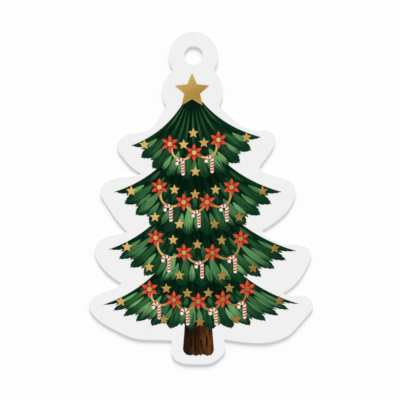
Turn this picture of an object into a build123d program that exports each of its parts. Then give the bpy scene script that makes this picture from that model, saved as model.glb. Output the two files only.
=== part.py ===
from build123d import *
import math
import os

os.makedirs("parts", exist_ok=True)

# A die-cut gift tag, drawn hanging: +Z is up, the printed face looks along -Y,
# and the origin is the centre of the hang hole on the back of the card.

# The card: two plies of white paper pasted together and cut in one stroke. The eye at its top
# is a round band about the hole, with its centre a little lower than the hole's.
TAG_WIDTH = 60.6
HANG_DROP = 83.7
HOLE_DIAMETER = 5.0
EYE_BAND = 4.16
EYE_DROP = 0.20
NECK_ANGLE = 34.5
SHEET_THICKNESS = 0.30
PASTE_THICKNESS = 0.02

# The cut edge, run by run from neck to foot: across as shares of the width from the
# hole's axis, down as shares of the drop from the hole's centre to the foot.
# The collar under the eye is a bulge and a notch, and a tier's run is its flank, its tip,
# its belly and the notch below it.
LEFT_COLLAR_SHARES = [(-0.140, 0.117), (-0.121, 0.164)]
RIGHT_COLLAR_SHARES = [(0.130, 0.117), (0.114, 0.164)]
LEFT_FLANK_SHARES = [
    [(-0.151, 0.198), (-0.191, 0.237), (-0.246, 0.250), (-0.307, 0.259)],
    [(-0.291, 0.392), (-0.358, 0.399), (-0.402, 0.418)],
    [(-0.349, 0.580), (-0.409, 0.595)],
    [(-0.380, 0.761), (-0.438, 0.779)],
]
LEFT_TIP_SHARES = [(-0.341, 0.292), (-0.417, 0.442), (-0.442, 0.628), (-0.467, 0.807)]
LEFT_BELLY_SHARES = [
    [(-0.313, 0.333), (-0.274, 0.363), (-0.232, 0.383)],
    [(-0.394, 0.477), (-0.356, 0.520), (-0.295, 0.572)],
    [(-0.428, 0.665), (-0.387, 0.703), (-0.321, 0.738)],
    [(-0.438, 0.848), (-0.362, 0.885), (-0.250, 0.918), (-0.183, 0.921), (-0.097, 0.923)],
]
RIGHT_FLANK_SHARES = [
    [(0.154, 0.190), (0.215, 0.227), (0.277, 0.243), (0.340, 0.244)],
    [(0.331, 0.383), (0.407, 0.400), (0.447, 0.418)],
    [(0.342, 0.592), (0.403, 0.610), (0.485, 0.615)],
    [(0.449, 0.778), (0.507, 0.781)],
]
RIGHT_TIP_SHARES = [(0.364, 0.265), (0.456, 0.442), (0.522, 0.633), (0.534, 0.804)]
RIGHT_BELLY_SHARES = [
    [(0.345, 0.311), (0.315, 0.342), (0.293, 0.364)],
    [(0.438, 0.484), (0.394, 0.523), (0.305, 0.567)],
    [(0.507, 0.685), (0.472, 0.727), (0.398, 0.770)],
    [(0.496, 0.853), (0.430, 0.904), (0.326, 0.930), (0.219, 0.928), (0.137, 0.919)],
]
FOOT_SHARES = [
    (-0.098, 0.961), (-0.083, 0.984), (-0.046, 0.997), (0.022, 1.000),
    (0.081, 0.996), (0.119, 0.978), (0.143, 0.949), (0.140, 0.934),
]

# The print: films of ink and foil, laid one over another on the front sheet.
FILM_THICKNESS = 0.015
PRINT_BORDER = 4.0

# The fir: four tiers of boughs on one axis, each fanning out from its crown to a hem
# that hangs between two tips. Fronds are counted across a tier and crowd towards its tips.
# A stroke is where it starts and ends along its frond, and how broad it is beside the pitch.
# One frond in LIGHT_FROND_COUNT has its long stroke in light green, the rest in mid green.
AXIS_TOP_SHARE = -0.006
AXIS_FOOT_SHARE = 0.022
CROWN_SHARES = [0.120, 0.268, 0.424, 0.586]
CROWN_SPREAD_SHARES = [0.05, 0.14, 0.14, 0.14]
HEM_SHARES = [0.399, 0.581, 0.749, 0.888]
HEM_FULLNESS = 2.7
BEND_ACROSS_SHARE = 0.34
BEND_DOWN_SHARE = 0.74
FROND_COUNTS = [10, 12, 13, 14]
FROND_CROWDING_SHARE = 0.40
CLEFT_SHARE = 0.82
LOBE_ACROSS_SHARE = 0.40
LOBE_DOWN_SHARE = 0.94
UPPER_STROKE_SHARES = [
    (0.14, 0.56, 0.34),
    (0.42, 0.63, 0.34),
    (0.46, 0.64, 0.34),
    (0.53, 0.66, 0.34),
]
MID_STROKE_SHARES = (0.57, 0.97, 0.50)
LIGHT_STROKE_SHARES = (0.67, 0.93, 0.30)
LIGHT_FROND_COUNT = 3

# The trunk, flared a little at the root, and the bark lines on it.
TRUNK_TOP_WIDTH = 7.0
TRUNK_FOOT_WIDTH = 8.4
TRUNK_TOP_SHARE = 0.840
TRUNK_FOOT_SHARE = 0.972
TRUNK_CORNER = 1.6
BARK_LINE_WIDTH = 0.45
BARK_ACROSS_SHARES = [-0.32, -0.12, 0.10, 0.31]
BARK_START_SHARES = [0.52, 0.44, 0.58, 0.48]
BARK_END_SHARES = [0.86, 0.94, 0.90, 0.82]

# Foil: a five-pointed star at the top, swags looped along each tier, and small stars
# over each loop, under each inner bloom and wherever else a tier has room.
STAR_RADIUS = 4.8
STAR_DOWN_SHARE = 0.115
STAR_WAIST_SHARE = 0.46
STAR_POINTS = 5
SMALL_STAR_RADIUS = 1.45
SWAG_WIDTH = 0.56
SWAG_ANCHOR_SHARES = [
    [0.14, 0.50, 0.86],
    [0.10, 0.37, 0.63, 0.90],
    [0.08, 0.36, 0.64, 0.92],
    [0.06, 0.28, 0.50, 0.72, 0.94],
]
SWAG_HEIGHT_SHARES = [0.58, 0.55, 0.55, 0.58]
SWAG_DIP_SHARE = 0.10
SWAG_GAP_SHARE = 0.10
STAR_OVER_LOOP_SHARE = -0.09
STAR_UNDER_BLOOM_SHARE = 0.28
SPARE_STAR_SHARES = [
    [(0.02, 0.86), (0.98, 0.86), (0.50, 0.36)],
    [(0.02, 0.84), (0.98, 0.84), (0.20, 0.86), (0.80, 0.86)],
    [(0.02, 0.84), (0.98, 0.84), (0.17, 0.86), (0.83, 0.86)],
    [(0.02, 0.86), (0.98, 0.86)],
]

# Red blooms sit where the swags are caught up, each with a foil centre.
BLOOM_RADIUS = 2.4
BLOOM_WAIST_SHARE = 0.42
BLOOM_PETALS = 6
PETAL_BELLY_SHARE = 0.72
PETAL_SPREAD_SHARE = 0.80
BLOOM_CENTRE_RADIUS = 0.62

# Candy canes hang from the low point of each swag.
CANE_HEIGHT = 4.8
CANE_HOOK_RADIUS = 0.84
CANE_WIDTH = 0.94
CANE_TURN = 200.0
CANE_STRIPE_WIDTH = 0.42
CANE_STRIPE_COUNT = 4
CANE_STRIPE_SLANT = 0.30
CANE_INSET = 0.05
HOOK_STRIPE_ANGLES = [24.0, 84.0, 144.0]
HOOK_STRIPE_SWEEP = 28.0


EYE_RADIUS = HOLE_DIAMETER / 2 + EYE_BAND
CARD_THICKNESS = 2 * SHEET_THICKNESS + PASTE_THICKNESS
TIERS = range(len(CROWN_SHARES))


def place(shares):
    """A point of the face from its shares of the width and the drop."""
    return Vector(TAG_WIDTH * shares[0], -HANG_DROP * shares[1])


def slab(faces, start, thickness):
    """Solids of one thickness, their backs a given distance in front of the card's back."""
    plane = Plane.XZ.offset(start)
    return [extrude(plane * face, thickness) for face in faces]


def film(faces, level):
    """Ink or foil laid on the front sheet, a counted number of films up."""
    return slab(faces, CARD_THICKNESS + level * FILM_THICKNESS, FILM_THICKNESS)


def run(start, shares):
    """One smooth stretch of the cut edge between two notches."""
    return Spline(start, *[place(pair) for pair in shares])


def side(neck, collar, flanks, tips, bellies):
    """One side of the cut edge, from the eye down to the trunk."""
    edges = [ThreePointArc(neck, *[place(pair) for pair in collar])]
    for flank, tip, belly in zip(flanks, tips, bellies):
        edges.append(run(edges[-1] @ 1, flank + [tip] + belly))
    return edges


def card_face():
    """The whole die-cut outline with the hang hole."""
    drop = EYE_DROP + EYE_RADIUS * math.sin(math.radians(NECK_ANGLE))
    reach = EYE_RADIUS * math.cos(math.radians(NECK_ANGLE))
    left_neck = Vector(-reach, -drop)
    right_neck = Vector(reach, -drop)
    left = side(left_neck, LEFT_COLLAR_SHARES, LEFT_FLANK_SHARES, LEFT_TIP_SHARES, LEFT_BELLY_SHARES)
    right = side(
        right_neck, RIGHT_COLLAR_SHARES, RIGHT_FLANK_SHARES, RIGHT_TIP_SHARES, RIGHT_BELLY_SHARES
    )
    eye = ThreePointArc(left_neck, Vector(0, EYE_RADIUS - EYE_DROP), right_neck)
    heel = Line(left[-1] @ 1, place(FOOT_SHARES[0]))
    foot = Spline(*[place(pair) for pair in FOOT_SHARES], right[-1] @ 1)
    return make_face([eye, heel, foot] + left + right) - Circle(HOLE_DIAMETER / 2)


def axis_x(down):
    """How far across the fir's axis lies at a share of the drop."""
    span = (down - CROWN_SHARES[0]) / (TRUNK_FOOT_SHARE - CROWN_SHARES[0])
    return TAG_WIDTH * (AXIS_TOP_SHARE + (AXIS_FOOT_SHARE - AXIS_TOP_SHARE) * span)


def hem(tier, across):
    """A point of a tier's hem, from 0 at its left tip to 1 at its right tip."""
    left = place(LEFT_TIP_SHARES[tier]) + Vector(PRINT_BORDER, 0)
    right = place(RIGHT_TIP_SHARES[tier]) - Vector(PRINT_BORDER, 0)
    chord = left + (right - left) * across
    drop = (left + right).Y / 2 + HANG_DROP * HEM_SHARES[tier]
    return chord - Vector(0, drop * (1 - abs(2 * across - 1) ** HEM_FULLNESS))


def frond(tier, across, start, end):
    """The middle control point of the stretch of a frond from start to end, as shares of its length.

    With start and end alike it is the point of the frond there."""
    tip = hem(tier, across)
    crown = Vector(axis_x(CROWN_SHARES[tier]), -HANG_DROP * CROWN_SHARES[tier])
    spread = (hem(tier, 1) - hem(tier, 0)).X * CROWN_SPREAD_SHARES[tier]
    root = crown + Vector(spread * (across - 1 / 2), 0)
    reach = tip - root
    bend = root + Vector(reach.X * BEND_ACROSS_SHARE, reach.Y * BEND_DOWN_SHARE)
    near = root + (bend - root) * start
    far = bend + (tip - bend) * start
    return near + (far - near) * end


def on_frond(tier, across, along):
    """A point of a tier, across it from tip to tip and along its fronds from crown to hem."""
    return frond(tier, across, along, along)


def across_at(tier, number):
    """How far across its tier a frond stands, counted from 0 at the left tip."""
    even = number / (FROND_COUNTS[tier] - 1)
    return even - FROND_CROWDING_SHARE * math.sin(2 * math.pi * even) / (2 * math.pi)


def bough_face(tier):
    """A tier's boughs: two sweeping flanks and a hem of pointed frond ends."""
    edges = [Bezier(on_frond(tier, 0, 0), frond(tier, 0, 0, 1), on_frond(tier, 0, 1))]
    for number in range(FROND_COUNTS[tier] - 1):
        here = across_at(tier, number)
        there = across_at(tier, number + 1)
        lobe = (there - here) * LOBE_ACROSS_SHARE
        cleft = on_frond(tier, (here + there) / 2, CLEFT_SHARE)
        fall = on_frond(tier, here + lobe, LOBE_DOWN_SHARE)
        rise = on_frond(tier, there - lobe, LOBE_DOWN_SHARE)
        edges.append(Bezier(on_frond(tier, here, 1), fall, cleft))
        edges.append(Bezier(cleft, rise, on_frond(tier, there, 1)))
    edges.append(Bezier(on_frond(tier, 1, 1), frond(tier, 1, 0, 1), on_frond(tier, 1, 0)))
    edges.append(Line(on_frond(tier, 1, 0), on_frond(tier, 0, 0)))
    return make_face(edges)


def stroke_face(tier, number, shares):
    """One brush stroke down a frond, pointed at both ends."""
    start, end, breadth = shares
    across = across_at(tier, number)
    half = breadth * (across_at(tier, number + 1 / 2) - across_at(tier, number - 1 / 2))
    first = on_frond(tier, across, start)
    last = on_frond(tier, across, end)
    return make_face([
        Bezier(first, frond(tier, across - half, start, end), last),
        Bezier(last, frond(tier, across + half, start, end), first),
    ])


def ray(turn, reach):
    """A step of a given reach, turned in degrees from the way across."""
    return Vector(reach * math.cos(math.radians(turn)), reach * math.sin(math.radians(turn)))


def star_face(centre, radius):
    """A plain star, one point straight up."""
    pitch = 180 / STAR_POINTS
    corners = []
    for index in range(STAR_POINTS):
        turn = 90 + 2 * pitch * index
        corners.append(centre + ray(turn, radius))
        corners.append(centre + ray(turn + pitch, radius * STAR_WAIST_SHARE))
    return make_face(Polyline(*corners, close=True))


def bloom_face(centre):
    """A bloom of pointed petals, each swelling from the waist and drawn to a tip."""
    pitch = 180 / BLOOM_PETALS
    waist = BLOOM_RADIUS * BLOOM_WAIST_SHARE
    belly = BLOOM_RADIUS * PETAL_BELLY_SHARE
    edges = []
    for index in range(BLOOM_PETALS):
        turn = 90 + 2 * pitch * index
        tip = centre + ray(turn, BLOOM_RADIUS)
        for way in (-1, 1):
            edges.append(Bezier(
                centre + ray(turn + way * pitch, waist),
                centre + ray(turn + way * pitch * PETAL_SPREAD_SHARE, belly),
                tip,
            ))
    return make_face(edges)


def swag_faces(tier):
    """The loops of one tier's swag, caught up at its anchors."""
    anchors = SWAG_ANCHOR_SHARES[tier]
    height = SWAG_HEIGHT_SHARES[tier]
    faces = []
    for here, there in zip(anchors, anchors[1:]):
        gap = (there - here) * SWAG_GAP_SHARE
        loop = ThreePointArc(
            on_frond(tier, here + gap, height),
            on_frond(tier, (here + there) / 2, height + SWAG_DIP_SHARE),
            on_frond(tier, there - gap, height),
        )
        faces.append(SlotArc(loop, SWAG_WIDTH))
    return faces


def cane_places(tier):
    """Where a tier's canes hang: the top of each shaft, its hook over the low point of a swag."""
    anchors = SWAG_ANCHOR_SHARES[tier]
    places = []
    for here, there in zip(anchors, anchors[1:]):
        low = on_frond(tier, (here + there) / 2, SWAG_HEIGHT_SHARES[tier] + SWAG_DIP_SHARE)
        places.append(low + Vector(CANE_HOOK_RADIUS, -CANE_HOOK_RADIUS))
    return places


def cane_face(top):
    """A cane: a straight shaft and a hook, round at both ends."""
    outer = CANE_HOOK_RADIUS + CANE_WIDTH / 2
    inner = CANE_HOOK_RADIUS - CANE_WIDTH / 2
    hub = top - Vector(CANE_HOOK_RADIUS, 0)
    foot = top - Vector(0, CANE_HEIGHT - outer - CANE_WIDTH / 2)
    half = Vector(CANE_WIDTH / 2, 0)
    end_turn = math.radians(CANE_TURN)
    end_way = Vector(math.cos(end_turn), math.sin(end_turn))
    end_cap = hub + end_way * CANE_HOOK_RADIUS + Vector(-end_way.Y, end_way.X) * (CANE_WIDTH / 2)
    return make_face([
        Line(foot + half, top + half),
        CenterArc(hub, outer, 0, CANE_TURN),
        ThreePointArc(hub + end_way * outer, end_cap, hub + end_way * inner),
        CenterArc(hub, inner, CANE_TURN, -CANE_TURN),
        Line(top - half, foot - half),
        ThreePointArc(foot - half, foot - Vector(0, CANE_WIDTH / 2), foot + half),
    ])


def cane_stripe_faces(top):
    """The stripes of one cane: slanted bars on the shaft and short bands round the hook."""
    reach = CANE_WIDTH / 2 - CANE_INSET
    shaft = CANE_HEIGHT - CANE_HOOK_RADIUS - CANE_WIDTH
    pitch = shaft / CANE_STRIPE_COUNT
    faces = []
    for index in range(CANE_STRIPE_COUNT):
        centre = top - Vector(0, pitch * (index + 1 / 2))
        rise = Vector(reach, CANE_STRIPE_SLANT / 2)
        thick = Vector(0, CANE_STRIPE_WIDTH / 2)
        left = centre - rise
        right = centre + rise
        faces.append(make_face(
            Polyline(left - thick, right - thick, right + thick, left + thick, close=True)
        ))
    hub = top - Vector(CANE_HOOK_RADIUS, 0)
    for angle in HOOK_STRIPE_ANGLES:
        start = Vector(math.cos(math.radians(angle)), math.sin(math.radians(angle)))
        end_angle = math.radians(angle + HOOK_STRIPE_SWEEP)
        end = Vector(math.cos(end_angle), math.sin(end_angle))
        outer = CANE_HOOK_RADIUS + reach
        inner = CANE_HOOK_RADIUS - reach
        faces.append(make_face([
            CenterArc(hub, outer, angle, HOOK_STRIPE_SWEEP),
            Line(hub + end * outer, hub + end * inner),
            CenterArc(hub, inner, angle + HOOK_STRIPE_SWEEP, -HOOK_STRIPE_SWEEP),
            Line(hub + start * inner, hub + start * outer),
        ]))
    return faces


def trunk_face():
    """The trunk, wider at its foot, with the foot's corners rounded."""
    top = -HANG_DROP * TRUNK_TOP_SHARE
    foot = -HANG_DROP * TRUNK_FOOT_SHARE
    middle = axis_x(TRUNK_FOOT_SHARE)
    face = make_face(Polyline(
        Vector(middle - TRUNK_TOP_WIDTH / 2, top),
        Vector(middle - TRUNK_FOOT_WIDTH / 2, foot),
        Vector(middle + TRUNK_FOOT_WIDTH / 2, foot),
        Vector(middle + TRUNK_TOP_WIDTH / 2, top),
        close=True,
    ))
    return fillet(face.vertices().sort_by(Axis.Y)[:2], TRUNK_CORNER)


def bark_faces():
    """Short upright lines of dark bark."""
    top = -HANG_DROP * TRUNK_TOP_SHARE
    length = HANG_DROP * (TRUNK_FOOT_SHARE - TRUNK_TOP_SHARE)
    middle = axis_x(TRUNK_FOOT_SHARE)
    faces = []
    for across, start, end in zip(BARK_ACROSS_SHARES, BARK_START_SHARES, BARK_END_SHARES):
        centre = Vector(middle + TRUNK_TOP_WIDTH * across, top - length * (start + end) / 2)
        faces.append(Pos(centre) * SlotOverall(length * (end - start), BARK_LINE_WIDTH, rotation=90))
    return faces


card = card_face()
nodes = {
    "back_sheet": slab([card], 0, SHEET_THICKNESS),
    "paste_layer": slab([card], SHEET_THICKNESS, PASTE_THICKNESS),
    "front_sheet": slab([card], SHEET_THICKNESS + PASTE_THICKNESS, SHEET_THICKNESS),
    "trunk": film([trunk_face()], 0),
    "bark_lines": film(bark_faces(), 1),
    "small_stars": [],
    "bloom_petals": [],
    "bloom_centres": [],
    "cane_bodies": [],
    "cane_stripes": [],
}

# The lowest tier is laid first, and each tier above laps over the one below it.
# On each tier the strokes go over the boughs, then foil, then the ornaments.
for tier in TIERS:
    name = f"tier_{tier + 1}"
    level = len(TIERS) - tier
    count = FROND_COUNTS[tier]
    gaps = [number + 1 / 2 for number in range(count - 1)]
    fronds = range(1, count - 1)
    lit = [number for number in fronds if (number + tier) % LIGHT_FROND_COUNT == 0]
    mids = [stroke_face(tier, number, MID_STROKE_SHARES) for number in fronds if number not in lit]
    uppers = [stroke_face(tier, number, UPPER_STROKE_SHARES[tier]) for number in gaps]
    lights = [stroke_face(tier, number, LIGHT_STROKE_SHARES) for number in gaps]
    lights += [stroke_face(tier, number, MID_STROKE_SHARES) for number in lit]
    nodes[f"{name}_boughs"] = film([bough_face(tier)], level)
    nodes[f"{name}_mid_strokes"] = film(mids + uppers, level + 1)
    nodes[f"{name}_light_strokes"] = film(lights, level + 1)
    nodes[f"{name}_swag"] = film(swag_faces(tier), level + 3)

    anchors = SWAG_ANCHOR_SHARES[tier]
    height = SWAG_HEIGHT_SHARES[tier]
    blooms = [on_frond(tier, across, height) for across in anchors]
    stars = [on_frond(tier, across, height + STAR_UNDER_BLOOM_SHARE) for across in anchors[1:-1]]
    for here, there in zip(anchors, anchors[1:]):
        stars.append(on_frond(tier, (here + there) / 2, height + STAR_OVER_LOOP_SHARE))
    stars += [on_frond(tier, *spot) for spot in SPARE_STAR_SHARES[tier]]
    canes = cane_places(tier)
    nodes["small_stars"] += film([star_face(spot, SMALL_STAR_RADIUS) for spot in stars], level + 4)
    nodes["bloom_petals"] += film([bloom_face(spot) for spot in blooms], level + 4)
    centres = [Pos(spot) * Circle(BLOOM_CENTRE_RADIUS) for spot in blooms]
    nodes["bloom_centres"] += film(centres, level + 5)
    nodes["cane_bodies"] += film([cane_face(top) for top in canes], level + 4)
    stripes = [face for top in canes for face in cane_stripe_faces(top)]
    nodes["cane_stripes"] += film(stripes, level + 5)

star_centre = Vector(axis_x(STAR_DOWN_SHARE), -HANG_DROP * STAR_DOWN_SHARE)
nodes["star_topper"] = film([star_face(star_centre, STAR_RADIUS)], len(TIERS) + 3)

for name, solids in nodes.items():
    export_step(Compound(children=solids), f"parts/{name}.step")
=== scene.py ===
import math
import random

import bmesh
import bpy
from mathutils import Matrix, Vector
from mathutils.geometry import tessellate_polygon


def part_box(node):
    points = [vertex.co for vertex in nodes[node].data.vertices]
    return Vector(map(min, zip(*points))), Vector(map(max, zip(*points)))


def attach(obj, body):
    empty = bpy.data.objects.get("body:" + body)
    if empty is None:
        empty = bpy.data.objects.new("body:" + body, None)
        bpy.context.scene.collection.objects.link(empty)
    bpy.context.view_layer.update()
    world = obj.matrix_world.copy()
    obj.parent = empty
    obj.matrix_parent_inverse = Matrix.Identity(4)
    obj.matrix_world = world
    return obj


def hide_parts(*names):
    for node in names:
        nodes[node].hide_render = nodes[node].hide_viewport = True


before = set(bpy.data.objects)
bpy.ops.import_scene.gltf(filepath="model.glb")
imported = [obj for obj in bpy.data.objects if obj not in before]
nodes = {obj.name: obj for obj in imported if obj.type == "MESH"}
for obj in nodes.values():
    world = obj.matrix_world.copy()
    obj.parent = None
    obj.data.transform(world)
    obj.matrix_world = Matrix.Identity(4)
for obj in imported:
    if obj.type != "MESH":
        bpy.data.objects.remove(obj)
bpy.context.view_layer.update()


# The back sheet: a bare ply of white uncoated paper, pasted behind the printed one.
# Both plies were cut in one stroke from the front, so the rule left this rim nearly square.
BACK_BURR = 0.00003
BURR_TURN_SHARE = 0.3
WELD_REACH = 1e-8
LEVEL_SLACK = 1e-7
FLAT_ENOUGH = 0.9
PAPER_WHITES = [(0.28, (0.838, 0.838, 0.834)), (0.52, (0.864, 0.864, 0.861)),
                (0.75, (0.880, 0.880, 0.878))]
CUT_GREYS_AND_PAINTED_SHADE = [(0.30, (0.60, 0.60, 0.59)), (0.52, (0.70, 0.70, 0.69)), (0.72, (0.76, 0.76, 0.755))]


def cut_outline(node):
    """The runs of the cut edge of a ply, as rings of (across, up), the hole's ring last."""
    ply = bmesh.new()
    ply.from_mesh(node.data)
    bmesh.ops.remove_doubles(ply, verts=ply.verts[:], dist=WELD_REACH)
    low = min(vert.co.y for vert in ply.verts)
    links = {}
    for edge in ply.edges:
        if all(abs(vert.co.y - low) < LEVEL_SLACK for vert in edge.verts):
            if sum(abs(face.normal.y) > FLAT_ENOUGH for face in edge.link_faces) == 1:
                first, last = edge.verts
                links.setdefault(first, []).append(last)
                links.setdefault(last, []).append(first)
    rings = []
    while links:
        ring = []
        here = next(iter(links))
        while here in links:
            ring.append((here.co.x, here.co.z))
            ways = links.pop(here)
            here = next((way for way in ways if way in links), None)
        rings.append(ring)
    ply.free()
    rings.sort(key=lambda ring: max(x for x, z in ring) - min(x for x, z in ring), reverse=True)
    return [turned(ring, index == 0) for index, ring in enumerate(rings)]


def turned(ring, leftward):
    """The ring run so that the paper lies on its left hand."""
    area = sum(a[0] * b[1] - b[0] * a[1] for a, b in zip(ring, ring[1:] + ring[:1]))
    return ring if (area > 0) == leftward else ring[::-1]


def inset(ring, depth):
    """The ring moved into the paper by a depth."""
    moved = []
    for before, here, after in zip(ring[-1:] + ring[:-1], ring, ring[1:] + ring[:1]):
        way = Vector((after[0] - before[0], after[1] - before[1])).normalized()
        moved.append((here[0] - way.y * depth, here[1] + way.x * depth))
    return moved


def cut_ply(name, rings, profile, finishes):
    """A ply of the card: its rim follows (inset, y) steps from the pasted face to the bare one.
    The finishes are those of its faces and of its cut rim."""
    verts = []
    faces = []
    rims = []
    for ring in rings:
        count = len(ring)
        steps = []
        for depth, y in profile:
            steps.append(range(len(verts), len(verts) + count))
            verts += [(x, y, z) for x, z in inset(ring, depth)]
        for low, high in zip(steps, steps[1:]):
            for spot in range(count):
                near = (spot + 1) % count
                faces.append((low[spot], low[near], high[near], high[spot]))
        rims.append((steps[0], steps[-1]))
    walls = len(faces)
    for end in (0, 1):
        order = [vert for rim in rims for vert in rim[end]]
        loops = [[Vector((verts[vert][0], verts[vert][2], 0)) for vert in rim[end]] for rim in rims]
        faces += [tuple(order[spot] for spot in corner) for corner in tessellate_polygon(loops)]
    mesh = bpy.data.meshes.new(name)
    mesh.from_pydata(verts, [], faces)
    for finish in finishes:
        mesh.materials.append(finish)
    for face in mesh.polygons[:walls]:
        face.use_smooth = True
        face.material_index = 1
    shape = bmesh.new()
    shape.from_mesh(mesh)
    bmesh.ops.recalc_face_normals(shape, faces=shape.faces[:])
    shape.to_mesh(mesh)
    shape.free()
    piece = bpy.data.objects.new(name, mesh)
    bpy.context.collection.objects.link(piece)
    return piece


def shade(material, kind, inputs=None, **fields):
    """One shader node: its fields set, and its sockets given a value or joined to another node."""
    node = material.node_tree.nodes.new("ShaderNode" + kind)
    for field, value in fields.items():
        setattr(node, field, value)
    for socket, value in (inputs or {}).items():
        if isinstance(value, bpy.types.NodeSocket):
            material.node_tree.links.new(value, node.inputs[socket])
        else:
            node.inputs[socket].default_value = value
    return node


def new_finish(name, roughness, specular, metallic=0.0):
    """A new material and its surface shader."""
    material = bpy.data.materials.new(name)
    material.use_nodes = True
    surface = material.node_tree.nodes["Principled BSDF"]
    surface.inputs["Roughness"].default_value = roughness
    surface.inputs["Specular IOR Level"].default_value = specular
    surface.inputs["Metallic"].default_value = metallic
    return material, surface


def coat(material, surface, looks):
    """Joins what a finish's nodes give to the named sockets of its surface."""
    for socket, look in looks.items():
        material.node_tree.links.new(look, surface.inputs[socket])


def ramp(material, value, stops):
    """Colours or greys that follow a value, from (position, colour) stops."""
    node = shade(material, "ValToRGB", {"Fac": value})
    band = node.color_ramp
    while len(band.elements) < len(stops):
        band.elements.new(1.0)
    for element, (position, colour) in zip(band.elements, stops):
        element.position = position
        element.color = (*colour, 1.0)
    return node.outputs["Color"]


def white_paper():
    """Uncoated white stock: a faint cloudy look-through, scattered fibres and a fine tooth."""
    material, surface = new_finish("white_paper", roughness=0.92, specular=0.18)
    place = shade(material, "TexCoord").outputs["Object"]
    cloud = shade(material, "TexNoise", {"Vector": place, "Scale": 420.0, "Detail": 5.0,
                                         "Roughness": 0.6})
    tooth = shade(material, "TexNoise", {"Vector": place, "Scale": 5200.0, "Detail": 4.0,
                                         "Roughness": 0.65})
    grain = shade(material, "Mapping", {"Vector": place, "Scale": (900.0, 900.0, 4200.0)})
    fibre = shade(material, "TexNoise", {"Vector": grain.outputs["Vector"], "Scale": 1.0,
                                         "Detail": 3.0, "Distortion": 1.6})
    blend = shade(material, "Mix", {"Factor": 0.5, "A": cloud.outputs["Fac"],
                                    "B": fibre.outputs["Fac"]})
    colour = ramp(material, blend.outputs["Result"], PAPER_WHITES)
    relief = shade(material, "Math", {0: tooth.outputs["Fac"], 1: fibre.outputs["Fac"]},
                   operation="ADD")
    bump = shade(material, "Bump", {"Height": relief.outputs["Value"], "Strength": 0.35,
                                    "Distance": 1.2e-5})
    coat(material, surface, {"Base Color": colour, "Normal": bump.outputs["Normal"]})
    return material


def cut_fibre():
    """The stock where it was sheared: fibres in thin flat layers, greyer than the face, partly
    painted shade.
    """
    material, surface = new_finish("cut_fibre", roughness=0.95, specular=0.10)
    place = shade(material, "TexCoord").outputs["Object"]
    lay = shade(material, "Mapping", {"Vector": place, "Scale": (1600.0, 24000.0, 1600.0)})
    layers = shade(material, "TexNoise", {"Vector": lay.outputs["Vector"], "Scale": 1.0,
                                          "Detail": 3.0})
    # painted shade: the cut rim is darkened to grey for the shade in its rough fibres, over the
    # real layering
    colour = ramp(material, layers.outputs["Fac"], CUT_GREYS_AND_PAINTED_SHADE)
    bump = shade(material, "Bump", {"Height": layers.outputs["Fac"], "Strength": 0.4,
                                    "Distance": 1.5e-5})
    coat(material, surface, {"Base Color": colour, "Normal": bump.outputs["Normal"]})
    return material


paper = white_paper()
sheared_and_shaded = cut_fibre()
cut_edge = cut_outline(nodes["front_sheet"])
back_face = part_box("back_sheet")[1][1]
back_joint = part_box("back_sheet")[0][1]
burred_rim = [
    (0.0, back_joint),
    (0.0, back_face - BACK_BURR),
    (BURR_TURN_SHARE * BACK_BURR, back_face - BURR_TURN_SHARE * BACK_BURR),
    (BACK_BURR, back_face),
]
back_sheet = cut_ply("back_sheet_ply", cut_edge, burred_rim, [paper, sheared_and_shaded])
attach(back_sheet, "root")
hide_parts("back_sheet")


# The paste: a thin starch film that holds the two plies. Only its line shows, a shade
# greyer than the paper, in the cut edge and round the hole.
PASTE_TONES = [(0.3, (0.60, 0.59, 0.55)), (0.7, (0.72, 0.71, 0.68))]


def dry_paste():
    """Dried starch paste, faintly yellow and a little uneven along the line."""
    material, surface = new_finish("dry_paste", roughness=0.75, specular=0.25)
    place = shade(material, "TexCoord").outputs["Object"]
    patchy = shade(material, "TexNoise", {"Vector": place, "Scale": 1500.0, "Detail": 3.0})
    coat(material, surface, {"Base Color": ramp(material, patchy.outputs["Fac"], PASTE_TONES)})
    return material


paste = nodes["paste_layer"]
paste.data.materials.clear()
paste.data.materials.append(dry_paste())


# The front sheet: the printed ply, of the same white paper. The cutting rule pressed in from
# this side, so its rim is rolled over by a hair all round, and so is the rim of the hole.
ROLL = 0.00002
ROLL_STEPS = 4
front_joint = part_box("front_sheet")[1][1]
card_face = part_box("front_sheet")[0][1]
rolled_rim = [(0.0, front_joint)]
for step in range(ROLL_STEPS + 1):
    turn = math.radians(90 * step / ROLL_STEPS)
    rolled_rim.append((ROLL * (1 - math.cos(turn)), card_face + ROLL * (1 - math.sin(turn))))
front_sheet = cut_ply("front_sheet_ply", cut_edge, rolled_rim, [paper, sheared_and_shaded])
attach(front_sheet, "root")
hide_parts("front_sheet")


# The trunk: brown ink, brushed on from top to bottom in one pass of a flat brush.
# It flares a little at the root, where the bristles leave a ragged end.
TAG_WIDTH = 0.0606
HANG_DROP = 0.0837
CROWN_SHARES = [0.120, 0.268, 0.424, 0.586]
AXIS_TOP_SHARE = -0.006
AXIS_FOOT_SHARE = 0.022
TRUNK_TOP_WIDTH = 0.0070
TRUNK_FOOT_WIDTH = 0.0084
TRUNK_TOP_SHARE = 0.840
TRUNK_FOOT_SHARE = 0.972
TRUNK_CORNER = 0.0016
TRUNK_BRISTLES = 26
TRUNK_ROWS = 24
TRUNK_RAGGED = 0.0004
TRUNK_RAGGED_SHARES = (-0.2, 1.0)
TRUNK_SEED = 11
SPOT_DIGITS = 9
TRUNK_BROWNS = [(0.30, (0.016, 0.0075, 0.0022)), (0.47, (0.062, 0.023, 0.0062)),
                (0.60, (0.104, 0.041, 0.0112)), (0.76, (0.165, 0.072, 0.022))]
TRUNK_SIDE_TONES = [(0.0, (0.26, 0.33, 0.42)), (0.32, (0.45, 0.52, 0.62)),
                    (0.56, (0.80, 0.84, 0.90)), (0.70, (1.32, 1.18, 1.05)),
                    (1.0, (1.45, 1.24, 1.05))]
TRUNK_SHADOW = [(0.42, (0.55, 0.55, 0.55)), (0.60, (1.0, 1.0, 1.0))]
film_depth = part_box("trunk")[1][1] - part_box("trunk")[0][1]


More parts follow.
